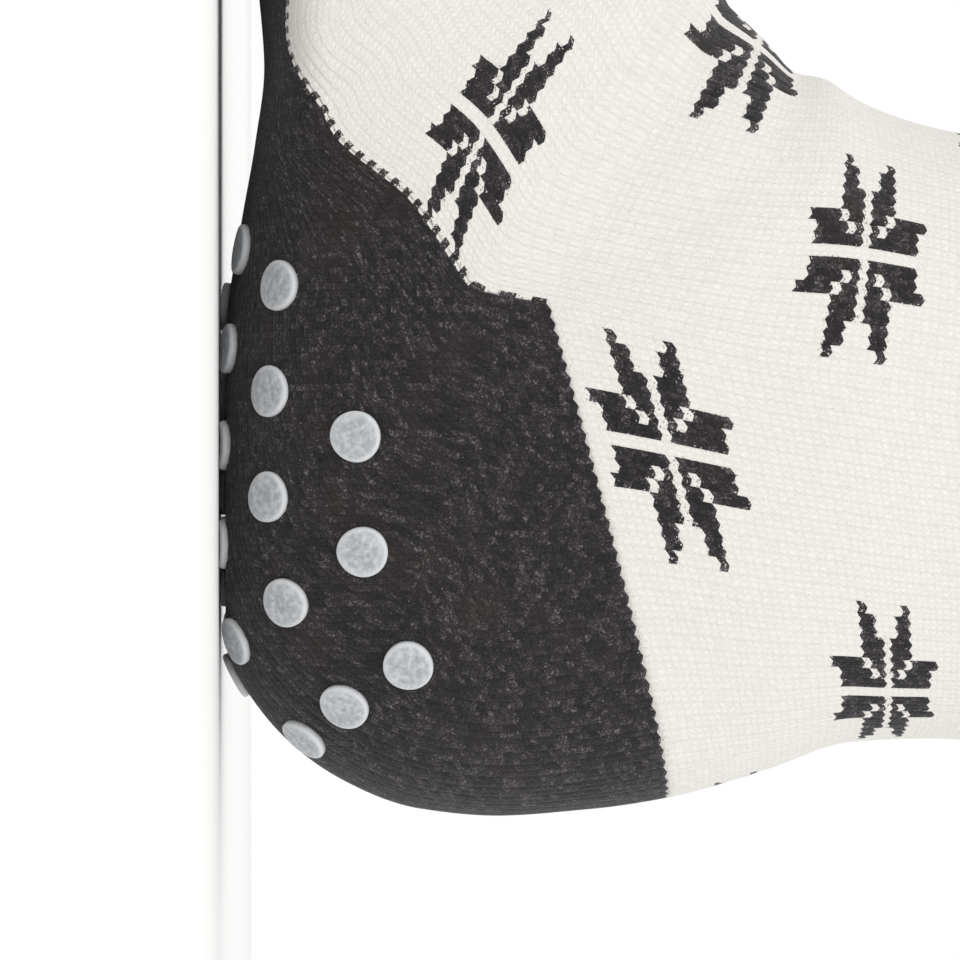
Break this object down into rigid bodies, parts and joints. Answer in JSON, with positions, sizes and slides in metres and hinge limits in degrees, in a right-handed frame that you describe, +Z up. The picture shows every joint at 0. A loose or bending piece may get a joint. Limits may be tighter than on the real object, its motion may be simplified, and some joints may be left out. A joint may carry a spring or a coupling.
{
  "type": "slipper sock",
  "caption": "Thick knitted slipper sock with a cream leg and instep, charcoal heel, sole and toe, and round silicone grip dots underneath.",
  "frame": {"origin": "on the floor, under the middle of the sock's box", "axes": "+X from heel to toe, +Y to the left of the foot, +Z up the leg"},
  "size_m": [0.2499, 0.0946, 0.1913],
  "materials": {
    "cream_knit": "chunky jersey knit, matt and slightly fuzzy",
    "cream_rib": "ribbed knit, matt",
    "charcoal_knit": "melange jersey knit, matt and slightly fuzzy",
    "grip_silicone": "smooth printed silicone, satin"
  },
  "bodies": {
    "root": {"cuff": "cream_rib", "grip_ball_c0_1": "grip_silicone", "grip_ball_c0_2": "grip_silicone", "grip_ball_c0_3": "grip_silicone", "grip_ball_c0_4": "grip_silicone", "grip_ball_c0_5": "grip_silicone", "grip_ball_l1_1": "grip_silicone", "grip_ball_l1_2": "grip_silicone", "grip_ball_l1_3": "grip_silicone", "grip_ball_l1_4": "grip_silicone", "grip_ball_l2_1": "grip_silicone", "grip_ball_l2_2": "grip_silicone", "grip_ball_l2_3": "grip_silicone", "grip_ball_r1_1": "grip_silicone", "grip_ball_r1_2": "grip_silicone", "grip_ball_r1_3": "grip_silicone", "grip_ball_r1_4": "grip_silicone", "grip_ball_r2_1": "grip_silicone", "grip_ball_r2_2": "grip_silicone", "grip_ball_r2_3": "grip_silicone", "grip_heel_c0_1": "grip_silicone", "grip_heel_c0_2": "grip_silicone", "grip_heel_c0_3": "grip_silicone", "grip_heel_c0_4": "grip_silicone", "grip_heel_c0_5": "grip_silicone", "grip_heel_l1_1": "grip_silicone", "grip_heel_l1_2": "grip_silicone", "grip_heel_l1_3": "grip_silicone", "grip_heel_l1_4": "grip_silicone", "grip_heel_l1_5": "grip_silicone", "grip_heel_l1_6": "grip_silicone", "grip_heel_l2_1": "grip_silicone", "grip_heel_l2_2": "grip_silicone", "grip_heel_l2_3": "grip_silicone", "grip_heel_l2_4": "grip_silicone", "grip_heel_l2_5": "grip_silicone", "grip_heel_l3_1": "grip_silicone", "grip_heel_l3_2": "grip_silicone", "grip_heel_l3_3": "grip_silicone", "grip_heel_r1_1": "grip_silicone", "grip_heel_r1_2": "grip_silicone", "grip_heel_r1_3": "grip_silicone", "grip_heel_r1_4": "grip_silicone", "grip_heel_r1_5": "grip_silicone", "grip_heel_r1_6": "grip_silicone", "grip_heel_r2_1": "grip_silicone", "grip_heel_r2_2": "grip_silicone", "grip_heel_r2_3": "grip_silicone", "grip_heel_r2_4": "grip_silicone", "grip_heel_r2_5": "grip_silicone", "grip_heel_r3_1": "grip_silicone", "grip_heel_r3_2": "grip_silicone", "grip_heel_r3_3": "grip_silicone", "sole": "charcoal_knit", "toe_cap": "charcoal_knit", "upper": "cream_knit"}
  },
  "joints": []
}
